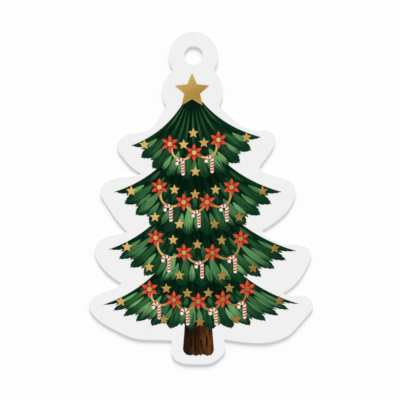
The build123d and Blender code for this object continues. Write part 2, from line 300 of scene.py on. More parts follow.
def axis_x(down):
    """How far across the fir's axis lies at a share of the drop."""
    span = (down - CROWN_SHARES[0]) / (TRUNK_FOOT_SHARE - CROWN_SHARES[0])
    return TAG_WIDTH * (AXIS_TOP_SHARE + (AXIS_FOOT_SHARE - AXIS_TOP_SHARE) * span)


def film_grid(film, sheet, front, tops, unders):
    """A sheet's corners as (vertex, place in the stroke), a vertex made where none lies yet."""
    grid = []
    for row in sheet:
        line = []
        for x, z, across, along, *thins_out in row:
            spot = (round(x, SPOT_DIGITS), round(z, SPOT_DIGITS))
            if spot not in tops:
                thin = any(thins_out)
                top = film.verts.new((x, card_face if thin else front, z))
                tops[spot] = top
                unders[top] = top if thin else film.verts.new((x, front + film_depth, z))
            line.append((tops[spot], (across, along)))
        grid.append(line)
    return grid


def film_face(film, brush, corners):
    """One face of a film from its corners, left out where they fall together."""
    corners = [corner for spot, corner in enumerate(corners) if corner[0] != corners[spot - 1][0]]
    if len({vert for vert, place in corners}) < 3:
        return None
    face = film.faces.new([vert for vert, place in corners])
    for loop, (vert, place) in zip(face.loops, corners):
        loop[brush].uv = place
    return face


def lay_film(name, node, patches, material):
    """A film of ink in the place of its solid, closed all round. A patch is how many films lie
    under it and the sheets that make it up, which join where they meet. A sheet is rows of
    (x, z, across, along), where a fifth item that holds lets the ink thin out to the card."""
    film = bmesh.new()
    brush = film.loops.layers.uv.new("brush")
    for level, sheets in patches:
        front = card_face - film_depth * (level + 1)
        tops = {}
        unders = {}
        cells = []
        for sheet in sheets:
            grid = film_grid(film, sheet, front, tops, unders)
            for upper, lower in zip(grid, grid[1:]):
                cells += zip(upper, lower, lower[1:], upper[1:])
        faces = [film_face(film, brush, cell) for cell in cells]
        loops = [loop for face in faces if face for loop in face.loops]
        rim = [loop for loop in loops if len(loop.edge.link_faces) == 1]
        ends = [[(loop.vert, loop[brush].uv[:]) for loop in (step.link_loop_next, step)]
                for step in rim]
        for near, far in ends:
            backs = [(unders[vert], place) for vert, place in (far, near)]
            film_face(film, brush, [near, far] + backs)
        for cell in cells:
            film_face(film, brush, [(unders[vert], place) for vert, place in reversed(cell)])
    bmesh.ops.recalc_face_normals(film, faces=film.faces[:])
    mesh = bpy.data.meshes.new(name)
    film.to_mesh(mesh)
    film.free()
    mesh.materials.append(material)
    piece = bpy.data.objects.new(name, mesh)
    bpy.context.collection.objects.link(piece)
    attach(piece, "root")
    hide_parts(node)


def brush_place(material):
    """Where a point lies in its stroke: across the bristles and along them."""
    spot = shade(material, "UVMap", uv_map="brush").outputs["UV"]
    parts = shade(material, "SeparateXYZ", {"Vector": spot})
    return parts.outputs["X"], parts.outputs["Y"]


def bristle_streaks(material, across, along, per_unit, drag, seed, detail=3.0):
    """Noise drawn out along the stroke: so many streaks to a unit across, a slow change along."""
    wide = shade(material, "Math", {0: across, 1: per_unit}, operation="MULTIPLY")
    long = shade(material, "Math", {0: along, 1: drag}, operation="MULTIPLY")
    spot = shade(material, "CombineXYZ", {"X": wide.outputs["Value"], "Y": long.outputs["Value"],
                                          "Z": seed})
    noise = shade(material, "TexNoise", {"Vector": spot.outputs["Vector"], "Scale": 1.0,
                                         "Detail": detail, "Roughness": 0.6})
    return noise.outputs["Fac"]


def toned(material, colour, tones):
    """A colour multiplied by each of its tones in turn."""
    for tone in tones:
        colour = shade(material, "Mix", {"Factor": 1.0, "A": colour, "B": tone}, data_type="RGBA",
                       blend_type="MULTIPLY").outputs["Result"]
    return colour


def brushed_brown():
    """Brown ink with darker and warmer streaks, darker on the left and under the boughs."""
    material, surface = new_finish("brushed_brown", roughness=0.75, specular=0.01)
    across, along = brush_place(material)
    streaks = bristle_streaks(material, across, along, per_unit=11.0, drag=1.3, seed=4.0)
    colour = ramp(material, streaks, TRUNK_BROWNS)
    side = ramp(material, across, TRUNK_SIDE_TONES)
    shadow = ramp(material, along, TRUNK_SHADOW)
    coat(material, surface, {"Base Color": toned(material, colour, [side, shadow])})
    return material


trunk_rng = random.Random(TRUNK_SEED)
trunk_middle = axis_x(TRUNK_FOOT_SHARE)
trunk_top = -HANG_DROP * TRUNK_TOP_SHARE
trunk_rows = [[] for row in range(TRUNK_ROWS + 1)]
for bristle in range(TRUNK_BRISTLES + 1):
    share = bristle / TRUNK_BRISTLES
    reach = TRUNK_FOOT_WIDTH * (share - 0.5)
    past = max(0.0, abs(reach) - (TRUNK_FOOT_WIDTH / 2 - TRUNK_CORNER))
    round_up = TRUNK_CORNER - math.sqrt(max(0.0, TRUNK_CORNER ** 2 - past ** 2))
    ragged = TRUNK_RAGGED * trunk_rng.uniform(*TRUNK_RAGGED_SHARES)
    foot = -HANG_DROP * TRUNK_FOOT_SHARE + round_up + ragged
    for row, places in enumerate(trunk_rows):
        along = row / TRUNK_ROWS
        width = TRUNK_TOP_WIDTH + (TRUNK_FOOT_WIDTH - TRUNK_TOP_WIDTH) * along
        x = trunk_middle + width * (share - 0.5)
        places.append((x, trunk_top + (foot - trunk_top) * along, share, along))
lay_film("trunk_ink", "trunk", [(0, [trunk_rows])], brushed_brown())


# The bark lines: four short strokes of dark brown ink on the trunk, put on with a small
# worn brush, so that they start full and end ragged.
BARK_LINE_WIDTH = 0.00045
BARK_ACROSS_SHARES = [-0.32, -0.12, 0.10, 0.31]
BARK_START_SHARES = [0.52, 0.44, 0.58, 0.48]
BARK_END_SHARES = [0.86, 0.94, 0.90, 0.82]
BARK_RAGGED_SHARES = (0.04, 0.12)
BARK_TIP_SHARE = 0.55
BARK_SWELL_SHARE = 0.65
BARK_SWELL_START = 0.12
BARK_SWELL_RUN = 0.80
BARK_LEAN = 0.00025
BARK_WIND = 3.0
BARK_BRISTLES = 4
BARK_ROWS = 12
BARK_SEED = 23
LANE = 2.0
BARK_BROWNS = [(0.35, (0.006, 0.0030, 0.0012)), (0.62, (0.020, 0.0090, 0.0030)),
               (0.80, (0.050, 0.021, 0.0070))]


def dark_bark():
    """Near-black brown ink, thinner where a bristle ran dry."""
    material, surface = new_finish("dark_bark", roughness=0.75, specular=0.01)
    across, along = brush_place(material)
    streaks = bristle_streaks(material, across, along, per_unit=5.0, drag=2.0, seed=7.0)
    coat(material, surface, {"Base Color": ramp(material, streaks, BARK_BROWNS)})
    return material


bark_rng = random.Random(BARK_SEED)
bark_length = HANG_DROP * (TRUNK_FOOT_SHARE - TRUNK_TOP_SHARE)
bark_lines = []
for line, share in enumerate(BARK_ACROSS_SHARES):
    lean = bark_rng.uniform(-BARK_LEAN, BARK_LEAN)
    bark_rows = [[] for row in range(BARK_ROWS + 1)]
    for bristle in range(BARK_BRISTLES + 1):
        across = bristle / BARK_BRISTLES
        start = BARK_START_SHARES[line] + bark_rng.uniform(0.0, BARK_RAGGED_SHARES[0])
        end = BARK_END_SHARES[line] - bark_rng.uniform(0.0, BARK_RAGGED_SHARES[1])
        for row, places in enumerate(bark_rows):
            along = row / BARK_ROWS
            swell = math.sin(math.pi * (BARK_SWELL_START + BARK_SWELL_RUN * along))
            width = BARK_LINE_WIDTH * (BARK_TIP_SHARE + BARK_SWELL_SHARE * swell)
            x = trunk_middle + TRUNK_TOP_WIDTH * share + width * (across - 0.5)
            x += lean * math.sin(BARK_WIND * along)
            z = trunk_top - bark_length * (start + (end - start) * along)
            places.append((x, z, LANE * line + across, along))
    bark_lines.append((1, [bark_rows]))
lay_film("bark_line_ink", "bark_lines", bark_lines, dark_bark())


# The boughs: four tiers of dark green ink, the lowest laid first. Each was brushed outwards
# from its crown, frond by frond, and the bristles leave a fringe of needles along its hem.
TIERS = range(len(CROWN_SHARES))
LEFT_TIP_SHARES = [(-0.341, 0.292), (-0.417, 0.442), (-0.442, 0.628), (-0.467, 0.807)]
RIGHT_TIP_SHARES = [(0.364, 0.265), (0.456, 0.442), (0.522, 0.633), (0.534, 0.804)]
PRINT_BORDER = 0.0040
CROWN_SPREAD_SHARES = [0.05, 0.14, 0.14, 0.14]
HEM_SHARES = [0.399, 0.581, 0.749, 0.888]
HEM_FULLNESS = 2.7
BEND_ACROSS_SHARE = 0.34
BEND_DOWN_SHARE = 0.74
FROND_COUNTS = [10, 12, 13, 14]
FROND_CROWDING_SHARE = 0.40
CLEFT_SHARE = 0.82
LOBE_ACROSS_SHARE = 0.40
LOBE_DOWN_SHARE = 0.94
NEEDLES = 14
NEEDLE_SHARE = 0.020
NEEDLE_CUT_SHARES = (0.4, 1.0)
WHOLE_TIP_SHARE = 0.06
THIN_RIM_ACROSS = 0.03
THIN_RIM_ALONG = 0.004
BOUGH_ROWS = 25
BOUGH_SEED = 37
TIER_FROND_NUMBERS = 20
FIR_GREENS = [(0.32, (0.0006, 0.0150, 0.0040)), (0.48, (0.0024, 0.0280, 0.0105)),
              (0.60, (0.0050, 0.0410, 0.0170)), (0.74, (0.0110, 0.0630, 0.0270))]
CLEFT_TONES = [(0.0, (1.15, 1.15, 1.15)), (0.30, (1.0, 1.0, 1.0)), (0.50, (0.38, 0.42, 0.45))]
FROND_TONES = [(0.0, (0.72, 0.78, 0.80)), (1.0, (1.30, 1.18, 1.12))]
BOUGH_SHADOW = [(0.38, (0.42, 0.46, 0.50)), (0.72, (1.0, 1.0, 1.0)), (1.0, (1.25, 1.2, 1.1))]


def hem(tier, across):
    """A point of a tier's hem, from 0 at its left tip to 1 at its right tip."""
    left_across, left_down = LEFT_TIP_SHARES[tier]
    right_across, right_down = RIGHT_TIP_SHARES[tier]
    left = Vector((TAG_WIDTH * left_across + PRINT_BORDER, -HANG_DROP * left_down))
    right = Vector((TAG_WIDTH * right_across - PRINT_BORDER, -HANG_DROP * right_down))
    drop = (left + right).y / 2 + HANG_DROP * HEM_SHARES[tier]
    sag = drop * (1 - abs(2 * across - 1) ** HEM_FULLNESS)
    return left.lerp(right, across) - Vector((0.0, sag))


def on_frond(tier, across, along):
    """A point of a tier, across it from tip to tip and along its fronds from crown to hem."""
    tip = hem(tier, across)
    spread = (hem(tier, 1.0) - hem(tier, 0.0)).x * CROWN_SPREAD_SHARES[tier]
    crown = axis_x(CROWN_SHARES[tier])
    root = Vector((crown + spread * (across - 0.5), -HANG_DROP * CROWN_SHARES[tier]))
    bend = root + Vector(((tip - root).x * BEND_ACROSS_SHARE, (tip - root).y * BEND_DOWN_SHARE))
    return root.lerp(bend, along).lerp(bend.lerp(tip, along), along)


def across_at(tier, number):
    """How far across its tier a frond stands, counted from 0 at the left tip."""
    even = number / (FROND_COUNTS[tier] - 1)
    return even - FROND_CROWDING_SHARE * math.sin(2 * math.pi * even) / (2 * math.pi)


def frond_end(number):
    """How far along the fronds the hem lies beside a frond: 1 at its tip, less in the cleft."""
    off = abs(number - round(number))
    slow = 2 * LOBE_ACROSS_SHARE
    bend = slow - 0.5
    run = (slow - math.sqrt(slow * slow - 4 * bend * off)) / (2 * bend)
    return (1 - run) ** 2 + 2 * run * (1 - run) * LOBE_DOWN_SHARE + run * run * CLEFT_SHARE


def fir_ink():
    """Dark green ink: streaked down each frond, darker in the clefts and under the tier above."""
    material, surface = new_finish("fir_ink", roughness=0.75, specular=0.01)
    number, along = brush_place(material)
    streaks = bristle_streaks(material, number, along, per_unit=5.0, drag=3.2, seed=1.0, detail=4.0)
    colour = ramp(material, streaks, FIR_GREENS)
    whole = shade(material, "Math", {0: number}, operation="ROUND")
    off = shade(material, "Math", {0: number, 1: whole.outputs["Value"]}, operation="SUBTRACT")
    cleft = shade(material, "Math", {0: off.outputs["Value"]}, operation="ABSOLUTE")
    depth = ramp(material, cleft.outputs["Value"], CLEFT_TONES)
    fronds = shade(material, "TexWhiteNoise", {"W": whole.outputs["Value"]}, noise_dimensions="1D")
    frond = ramp(material, fronds.outputs["Value"], FROND_TONES)
    shadow = ramp(material, along, BOUGH_SHADOW)
    coat(material, surface, {"Base Color": toned(material, colour, [depth, frond, shadow])})
    return material


fir_green = fir_ink()
bough_rng = random.Random(BOUGH_SEED)
for tier in TIERS:
    last = FROND_COUNTS[tier] - 1
    numbers = [step / NEEDLES for step in range(last * NEEDLES + 1)]
    numbers = [-THIN_RIM_ACROSS] + numbers + [last + THIN_RIM_ACROSS]
    bough_rows = [[] for row in range(BOUGH_ROWS + 2)]
    for column, number in enumerate(numbers):
        inner = min(max(number, 0.0), float(last))
        end = frond_end(inner)
        if column % 2 == 0 and abs(inner - round(inner)) > WHOLE_TIP_SHARE:
            end -= NEEDLE_SHARE * bough_rng.uniform(*NEEDLE_CUT_SHARES)
        for row, places in enumerate(bough_rows):
            outer = row > BOUGH_ROWS
            along = end + THIN_RIM_ALONG if outer else end * row / BOUGH_ROWS
            spot = on_frond(tier, across_at(tier, number), along)
            places.append((spot.x, spot.y, number + TIER_FROND_NUMBERS * tier, along,
                           outer or inner != number))
    name = f"tier_{tier + 1}_boughs"
    lay_film(name + "_ink", name, [(len(TIERS) - tier, [bough_rows])], fir_green)


# The strokes on the boughs, each one pull of a half-dry brush: mid green down most fronds and,
# shorter, between them higher up, then light green down the other fronds and between them lower
# down. The light strokes lap over the mid ones.
UPPER_STROKE_SHARES = [(0.14, 0.56, 0.34), (0.42, 0.63, 0.34), (0.46, 0.64, 0.34),
                       (0.53, 0.66, 0.34)]
MID_STROKE_SHARES = (0.57, 0.97, 0.50)
LIGHT_STROKE_SHARES = (0.67, 0.93, 0.30)
LIGHT_FROND_COUNT = 3
LIGHT_LAP = 0.2
STROKE_BRISTLES = 10
STROKE_ROWS = 14
STROKE_RAGGED_SHARES = (0.10, 0.20)
STROKE_SWAY_SHARE = 0.25
STROKE_TIP_SHARE = 0.06
STROKE_BLUNTNESS = 0.75
STROKE_FULLNESS = 1.12
STROKE_FULLEST_SHARE = 0.45
STROKE_TAPER = 0.35
STROKE_SEED = 53
TIER_STROKE_NUMBERS = 50
MID_GREENS = [(0.30, (0.006, 0.044, 0.018)), (0.46, (0.014, 0.070, 0.024)),
              (0.60, (0.028, 0.110, 0.035)), (0.76, (0.046, 0.158, 0.050))]
MID_GAP_GREEN = (0.0030, 0.0300, 0.0115)
LIGHT_GREENS = [(0.30, (0.052, 0.170, 0.052)), (0.46, (0.090, 0.245, 0.088)),
                (0.60, (0.120, 0.295, 0.112)), (0.76, (0.170, 0.365, 0.152))]
LIGHT_GAP_GREEN = (0.0070, 0.0480, 0.0190)
STROKE_TONES = [(0.0, (0.60, 0.68, 0.70)), (0.55, (1.0, 1.0, 1.0)), (1.0, (1.75, 1.50, 1.40))]
STROKE_WEAR = [(0.0, (0.12, 0.12, 0.12)), (0.25, (0.0, 0.0, 0.0)), (1.0, (0.34, 0.34, 0.34))]
STROKE_GAPS = [(0.64, (0.0, 0.0, 0.0)), (0.80, (1.0, 1.0, 1.0))]


def brush_stroke(tier, number, shares, index, rng):
    """One pull of the brush: its bristles start nearly together and run out one by one."""
    start, end, breadth = shares
    middle = across_at(tier, number)
    half = breadth * (across_at(tier, number + 0.5) - across_at(tier, number - 0.5)) / 2
    rows = [[] for row in range(STROKE_ROWS + 1)]
    sway = rng.uniform(-STROKE_SWAY_SHARE, STROKE_SWAY_SHARE)
    for bristle in range(STROKE_BRISTLES + 1):
        across = bristle / STROKE_BRISTLES
        side = 2 * across - 1
        first = rng.uniform(0.0, STROKE_RAGGED_SHARES[0]) * (1 + abs(side)) / 2
        last = 1 - rng.uniform(0.0, STROKE_RAGGED_SHARES[1]) * (1 + abs(side)) / 2
        for row, places in enumerate(rows):
            down = min(max(row / STROKE_ROWS, first), last)
            belly = (4 * down * (1 - down)) ** STROKE_BLUNTNESS
            belly *= STROKE_FULLNESS - STROKE_TAPER * abs(down - STROKE_FULLEST_SHARE)
            drift = sway * math.sin(math.pi * down)
            lane = middle + half * (side * (STROKE_TIP_SHARE + belly) + drift)
            spot = on_frond(tier, lane, start + (end - start) * down)
            places.append((spot.x, spot.y, LANE * index + across, (down - first) / (last - first)))
    return rows


def dry_brush_ink(name, greens, gap_green):
    """A half-dry pull of ink, streaked along the bristles, dark boughs showing through its tail."""
    material, surface = new_finish(name, roughness=0.75, specular=0.01)
    across, along = brush_place(material)
    streaks = bristle_streaks(material, across, along, per_unit=6.0, drag=1.4, seed=2.0)
    colour = ramp(material, streaks, greens)
    stroke = shade(material, "Math", {0: across, 1: 1 / LANE}, operation="MULTIPLY")
    stroke = shade(material, "Math", {0: stroke.outputs["Value"]}, operation="FLOOR")
    each = shade(material, "TexWhiteNoise", {"W": stroke.outputs["Value"]}, noise_dimensions="1D")
    colour = toned(material, colour, [ramp(material, each.outputs["Value"], STROKE_TONES)])
    gaps = bristle_streaks(material, across, along, per_unit=9.0, drag=1.1, seed=9.0, detail=2.0)
    wear = ramp(material, along, STROKE_WEAR)
    wear = shade(material, "Math", {0: gaps, 1: wear}, operation="ADD")
    dry = ramp(material, wear.outputs["Value"], STROKE_GAPS)
    worn = shade(material, "Mix", {"Factor": dry, "A": colour, "B": (*gap_green, 1.0)},
                 data_type="RGBA")
    coat(material, surface, {"Base Color": worn.outputs["Result"]})
    return material


mid_green = dry_brush_ink("mid_green_brush", MID_GREENS, MID_GAP_GREEN)
light_green = dry_brush_ink("light_green_brush", LIGHT_GREENS, LIGHT_GAP_GREEN)
stroke_rng = random.Random(STROKE_SEED)
for tier in TIERS:
    gaps = [number + 0.5 for number in range(FROND_COUNTS[tier] - 1)]
    fronds = range(1, FROND_COUNTS[tier] - 1)
    lit = [number for number in fronds if (number + tier) % LIGHT_FROND_COUNT == 0]
    mid_pulls = [(number, MID_STROKE_SHARES) for number in fronds if number not in lit]
    mid_pulls += [(number, UPPER_STROKE_SHARES[tier]) for number in gaps]
    light_pulls = [(number, LIGHT_STROKE_SHARES) for number in gaps]
    light_pulls += [(number, MID_STROKE_SHARES) for number in lit]
    over = len(TIERS) - tier + 1
    strokes = []
    for level, pulls in ((over, mid_pulls), (over + LIGHT_LAP, light_pulls)):
        strokes.append([])
        for index, (number, shares) in enumerate(pulls, TIER_STROKE_NUMBERS * tier):
            strokes[-1].append((level, [brush_stroke(tier, number, shares, index, stroke_rng)]))
    mids, lights = strokes
    name = f"tier_{tier + 1}"
    lay_film(name + "_mid_brush", name + "_mid_strokes", mids, mid_green)
    lay_film(name + "_light_brush", name + "_light_strokes", lights, light_green)


# The foil: a star at the top in deep gold, then swags, small stars and bloom centres in pale
# gold, all stamped hot over the ink. The thin skin takes the paper's tooth and shines unevenly,
# and a broad painted sheen lightens and darkens its colour in patches.
PALE_GOLDS = [(0.36, (0.57, 0.355, 0.095)), (0.50, (0.66, 0.455, 0.138)),
              (0.64, (0.76, 0.575, 0.192))]
DEEP_GOLDS = [(0.36, (0.37, 0.225, 0.045)), (0.50, (0.475, 0.325, 0.073)),
              (0.64, (0.595, 0.460, 0.118))]
FOIL_ROUGHNESS = [(0.3, (0.10, 0.10, 0.10)), (0.7, (0.16, 0.16, 0.16))]


def gold_foil(name, golds):
    """Gold foil: metal with a broad painted sheen and a soft mottle in its colour, and the paper's
    grain pressed through.
    """
    material, surface = new_finish(name, roughness=0.30, specular=0.5, metallic=1.0)
    place = shade(material, "TexCoord").outputs["Object"]
    mottle = shade(material, "TexNoise", {"Vector": place, "Scale": 700.0, "Detail": 4.0,
                                          "Roughness": 0.6})
    grain = shade(material, "TexNoise", {"Vector": place, "Scale": 4800.0, "Detail": 3.0})
    # painted sheen: broad patches of lighter and darker gold in the base colour, partly uneven foil
    # and partly painted reflection
    painted_sheen = shade(material, "TexNoise", {"Vector": place, "W": 2.0, "Scale": 120.0, "Detail": 1.0},
                  noise_dimensions="4D")
    blend = shade(material, "Mix", {"Factor": 0.3, "A": painted_sheen.outputs["Fac"],
                                    "B": mottle.outputs["Fac"]})
    colour = ramp(material, blend.outputs["Result"], golds)
    rough = ramp(material, mottle.outputs["Fac"], FOIL_ROUGHNESS)
    bump = shade(material, "Bump", {"Height": grain.outputs["Fac"], "Strength": 0.10,
                                    "Distance": 4e-6})
    coat(material, surface, {"Base Color": colour, "Roughness": rough,
                             "Normal": bump.outputs["Normal"]})
    return material


pale_gold = gold_foil("pale_gold_foil", PALE_GOLDS)
deep_gold = gold_foil("deep_gold_foil", DEEP_GOLDS)
foiled = {f"tier_{tier + 1}_swag": pale_gold for tier in TIERS}
foiled.update(star_topper=deep_gold, small_stars=pale_gold, bloom_centres=pale_gold)
for name, foil in foiled.items():
    nodes[name].data.materials.clear()
    nodes[name].data.materials.append(foil)


# The blooms: six pointed petals in red ink where the swags are caught up, each petal
# one dab of the brush from the middle outwards.
BLOOM_RADIUS = 0.0024
BLOOM_WAIST_SHARE = 0.42
BLOOM_PETALS = 6
BLOOM_LEVEL = 4
PETAL_BELLY_SHARE = 0.72
PETAL_SPREAD_SHARE = 0.80
PETAL_STEPS = 8
PETAL_ROWS = 10
SWAG_ANCHOR_SHARES = [
    [0.14, 0.50, 0.86],
    [0.10, 0.37, 0.63, 0.90],
    [0.08, 0.36, 0.64, 0.92],
    [0.06, 0.28, 0.50, 0.72, 0.94],
]
SWAG_HEIGHT_SHARES = [0.58, 0.55, 0.55, 0.58]
BLOOM_REDS = [(0.30, (0.47, 0.040, 0.020)), (0.50, (0.71, 0.072, 0.036)),
              (0.72, (0.83, 0.130, 0.070))]
PETAL_TONES = [(0.0, (0.42, 0.40, 0.40)), (0.22, (0.95, 0.95, 0.95)), (0.50, (1.08, 1.25, 1.3)),
               (0.78, (0.95, 0.95, 0.95)), (1.0, (0.42, 0.40, 0.40))]
HEART_TONES = [(0.15, (0.35, 0.30, 0.30)), (0.55, (1.0, 1.0, 1.0))]


def ray(turn, reach):
    """A step of a given reach, turned in degrees from the way across."""
    return Vector((reach * math.cos(math.radians(turn)), reach * math.sin(math.radians(turn))))


def petal(centre, turn, index):
    """One petal as a sheet, from the middle of its bloom to its tip."""
    half_pitch = 180 / BLOOM_PETALS
    tip = ray(turn, BLOOM_RADIUS)
    across = [LANE * index + step / PETAL_STEPS for step in range(PETAL_STEPS + 1)]
    rows = [[(centre.x, centre.y, place, 0.0) for place in across]]
    for row in range(PETAL_ROWS + 1):
        run = row / PETAL_ROWS
        along = BLOOM_WAIST_SHARE + (1 - BLOOM_WAIST_SHARE) * run
        places = []
        for step, place in enumerate(across):
            swing = (2 * step / PETAL_STEPS - 1) * half_pitch
            waist = ray(turn + swing, BLOOM_RADIUS * BLOOM_WAIST_SHARE)
            belly = ray(turn + swing * PETAL_SPREAD_SHARE, BLOOM_RADIUS * PETAL_BELLY_SHARE)
            spot = centre + waist.lerp(belly, run).lerp(belly.lerp(tip, run), run)
            places.append((spot.x, spot.y, place, along))
        rows.append(places)
    return rows


def share_across(material, across):
    """How far across its own petal, cane or stripe a point lies, from 0 to 1."""
    return shade(material, "Math", {0: across, 1: LANE}, operation="MODULO").outputs["Value"]


def bloom_red():
    """Red ink: deep at the heart and along the edges of each petal, brighter down its middle."""
    material, surface = new_finish("bloom_red", roughness=0.70, specular=0.01)
    across, along = brush_place(material)
    streaks = bristle_streaks(material, across, along, per_unit=7.0, drag=1.5, seed=5.0)
    colour = ramp(material, streaks, BLOOM_REDS)
    lobe = ramp(material, share_across(material, across), PETAL_TONES)
    heart = ramp(material, along, HEART_TONES)
    coat(material, surface, {"Base Color": toned(material, colour, [lobe, heart])})
    return material


blooms = []
for tier in TIERS:
    for anchor in SWAG_ANCHOR_SHARES[tier]:
        centre = on_frond(tier, anchor, SWAG_HEIGHT_SHARES[tier])
        petals = [petal(centre, 90 + 360 * index / BLOOM_PETALS, BLOOM_PETALS * len(blooms) + index)
                  for index in range(BLOOM_PETALS)]
        blooms.append((len(TIERS) - tier + BLOOM_LEVEL, petals))
lay_film("bloom_petal_ink", "bloom_petals", blooms, bloom_red())


# The candy canes: cream ink bodies hung by the crook from the low point of each swag.
# They are shaded down one side, so that the stick looks round.
CANE_HEIGHT = 0.0048
CANE_HOOK_RADIUS = 0.00084
CANE_WIDTH = 0.00094
CANE_SHAFT = CANE_HEIGHT - CANE_HOOK_RADIUS - CANE_WIDTH
CANE_TURN = 200.0
CANE_LEVEL = 4
CANE_STEPS = 8
CANE_ROWS = 24
CANE_CAP_ROWS = 5
SWAG_DIP_SHARE = 0.10
CANE_CREAMS = [(0.0, (0.80, 0.75, 0.66)), (0.35, (0.93, 0.90, 0.83)),
               (0.70, (0.86, 0.80, 0.70)), (1.0, (0.58, 0.49, 0.42))]
CREAM_TONES = [(0.3, (0.90, 0.89, 0.87)), (0.7, (1.04, 1.03, 1.0))]


def cane_tops():
    """The tier of each cane and the top of its shaft, its crook over the low point of a swag."""
    tops = []
    for tier in TIERS:
        anchors = SWAG_ANCHOR_SHARES[tier]
        for here, there in zip(anchors, anchors[1:]):
            low = on_frond(tier, (here + there) / 2, SWAG_HEIGHT_SHARES[tier] + SWAG_DIP_SHARE)
            tops.append((tier, low + Vector((CANE_HOOK_RADIUS, -CANE_HOOK_RADIUS))))
    return tops


def cane_line(top, run):
    """A point on a cane's middle line a run up from its foot, and the way across it there."""
    if run <= CANE_SHAFT:
        return top + Vector((0.0, run - CANE_SHAFT)), Vector((1.0, 0.0))
    way = ray(math.degrees((run - CANE_SHAFT) / CANE_HOOK_RADIUS), 1.0)
    return top - Vector((CANE_HOOK_RADIUS, 0.0)) + way * CANE_HOOK_RADIUS, way


def cane_body(top, index):
    """A cane as one ribbon from its round foot to the round end of its crook."""
    length = CANE_SHAFT + math.radians(CANE_TURN) * CANE_HOOK_RADIUS
    half = CANE_WIDTH / 2
    caps = [math.radians(90 * row / CANE_CAP_ROWS) for row in range(CANE_CAP_ROWS + 1)]
    runs = [-half * math.cos(cap) for cap in caps[:-1]]
    runs += [length * row / CANE_ROWS for row in range(CANE_ROWS + 1)]
    runs += [length + half * math.sin(cap) for cap in caps[1:]]
    rows = []
    for run in runs:
        inner = min(max(run, 0.0), length)
        wide = math.sqrt(max(0.0, half * half - (run - inner) ** 2))
        spot, way = cane_line(top, inner)
        ahead = Vector((-way.y, way.x)) * (run - inner)
        places = []
        for step in range(CANE_STEPS + 1):
            place = spot + ahead + way * wide * (2 * step / CANE_STEPS - 1)
            places.append((place.x, place.y, LANE * index + step / CANE_STEPS, run / length))
        rows.append(places)
    return rows


def cane_cream():
    """Cream ink, a little grey-pink down the shaded side of the stick."""
    material, surface = new_finish("cane_cream", roughness=0.70, specular=0.01)
    across, along = brush_place(material)
    side = ramp(material, share_across(material, across), CANE_CREAMS)
    streaks = bristle_streaks(material, across, along, per_unit=5.0, drag=3.0, seed=3.0)
    uneven = ramp(material, streaks, CREAM_TONES)
    coat(material, surface, {"Base Color": toned(material, side, [uneven])})
    return material


canes = []
for index, (tier, top) in enumerate(cane_tops()):
    canes.append((len(TIERS) - tier + CANE_LEVEL, [cane_body(top, index)]))
lay_film("cane_body_ink", "cane_bodies", canes, cane_cream())


# The cane stripes: bars of red ink that slant and bow across the stick as if wound round it,
# and go on round the crook.
CANE_STRIPE_WIDTH = 0.00042
CANE_STRIPE_COUNT = 4
CANE_STRIPE_SLANT = 0.00030
CANE_STRIPE_BOW = 0.00010
CANE_INSET = 0.00005
HOOK_STRIPE_ANGLES = [24.0, 84.0, 144.0]
HOOK_STRIPE_SWEEP = 28.0
STRIPE_LEVEL = CANE_LEVEL + 1
STRIPE_ROWS = 3
STRIPE_REDS = [(0.0, (0.66, 0.036, 0.016)), (0.35, (0.80, 0.055, 0.022)),
               (1.0, (0.42, 0.018, 0.010))]
STRIPE_TONES = [(0.3, (0.82, 0.80, 0.80)), (0.7, (1.06, 1.06, 1.06))]


def cane_stripe(top, middle, index):
    """One stripe as a sheet about a run up its cane."""
    reach = CANE_WIDTH / 2 - CANE_INSET
    rows = []
    for row in range(STRIPE_ROWS + 1):
        places = []
        for step in range(CANE_STEPS + 1):
            side = 2 * step / CANE_STEPS - 1
            run = middle + CANE_STRIPE_WIDTH * (row / STRIPE_ROWS - 0.5)
            run += CANE_STRIPE_SLANT / 2 * side - CANE_STRIPE_BOW * (0.5 - side * side)
            spot, way = cane_line(top, run)
            spot = spot + way * reach * side
            places.append((spot.x, spot.y, LANE * index + step / CANE_STEPS, row / STRIPE_ROWS))
        rows.append(places)
    return rows


def stripe_red():
    """Red ink, deeper down the shaded side."""
    material, surface = new_finish("stripe_red", roughness=0.70, specular=0.01)
    across, along = brush_place(material)
    side = ramp(material, share_across(material, across), STRIPE_REDS)
    streaks = bristle_streaks(material, across, along, per_unit=5.0, drag=2.0, seed=6.0)
    uneven = ramp(material, streaks, STRIPE_TONES)
    coat(material, surface, {"Base Color": toned(material, side, [uneven])})
    return material


middles = [CANE_SHAFT * (stripe + 0.5) / CANE_STRIPE_COUNT for stripe in range(CANE_STRIPE_COUNT)]
for angle in HOOK_STRIPE_ANGLES:
    middles.append(CANE_SHAFT + math.radians(angle + HOOK_STRIPE_SWEEP / 2) * CANE_HOOK_RADIUS)
stripes = []
for tier, top in cane_tops():
    for middle in middles:
        stripes.append((len(TIERS) - tier + STRIPE_LEVEL, [cane_stripe(top, middle, len(stripes))]))
lay_film("cane_stripe_ink", "cane_stripes", stripes, stripe_red())


# The backdrop and floor: a pale wall close behind the tag, which takes its soft shadow,
# and a pale floor below. The wall is seen only from in front, so that it never hides the back.
WALL_GAP = 0.00015
WALL_REACH = 0.16
WALL_MIDDLE = -0.04
WALL_PAINT = (0.975, 0.975, 0.975)
FLOOR_DROP = 0.21
FLOOR_REACH = 4.0
FLOOR_PAINT = (0.79, 0.79, 0.79)
PAINT_DIM_SHARE = 0.996


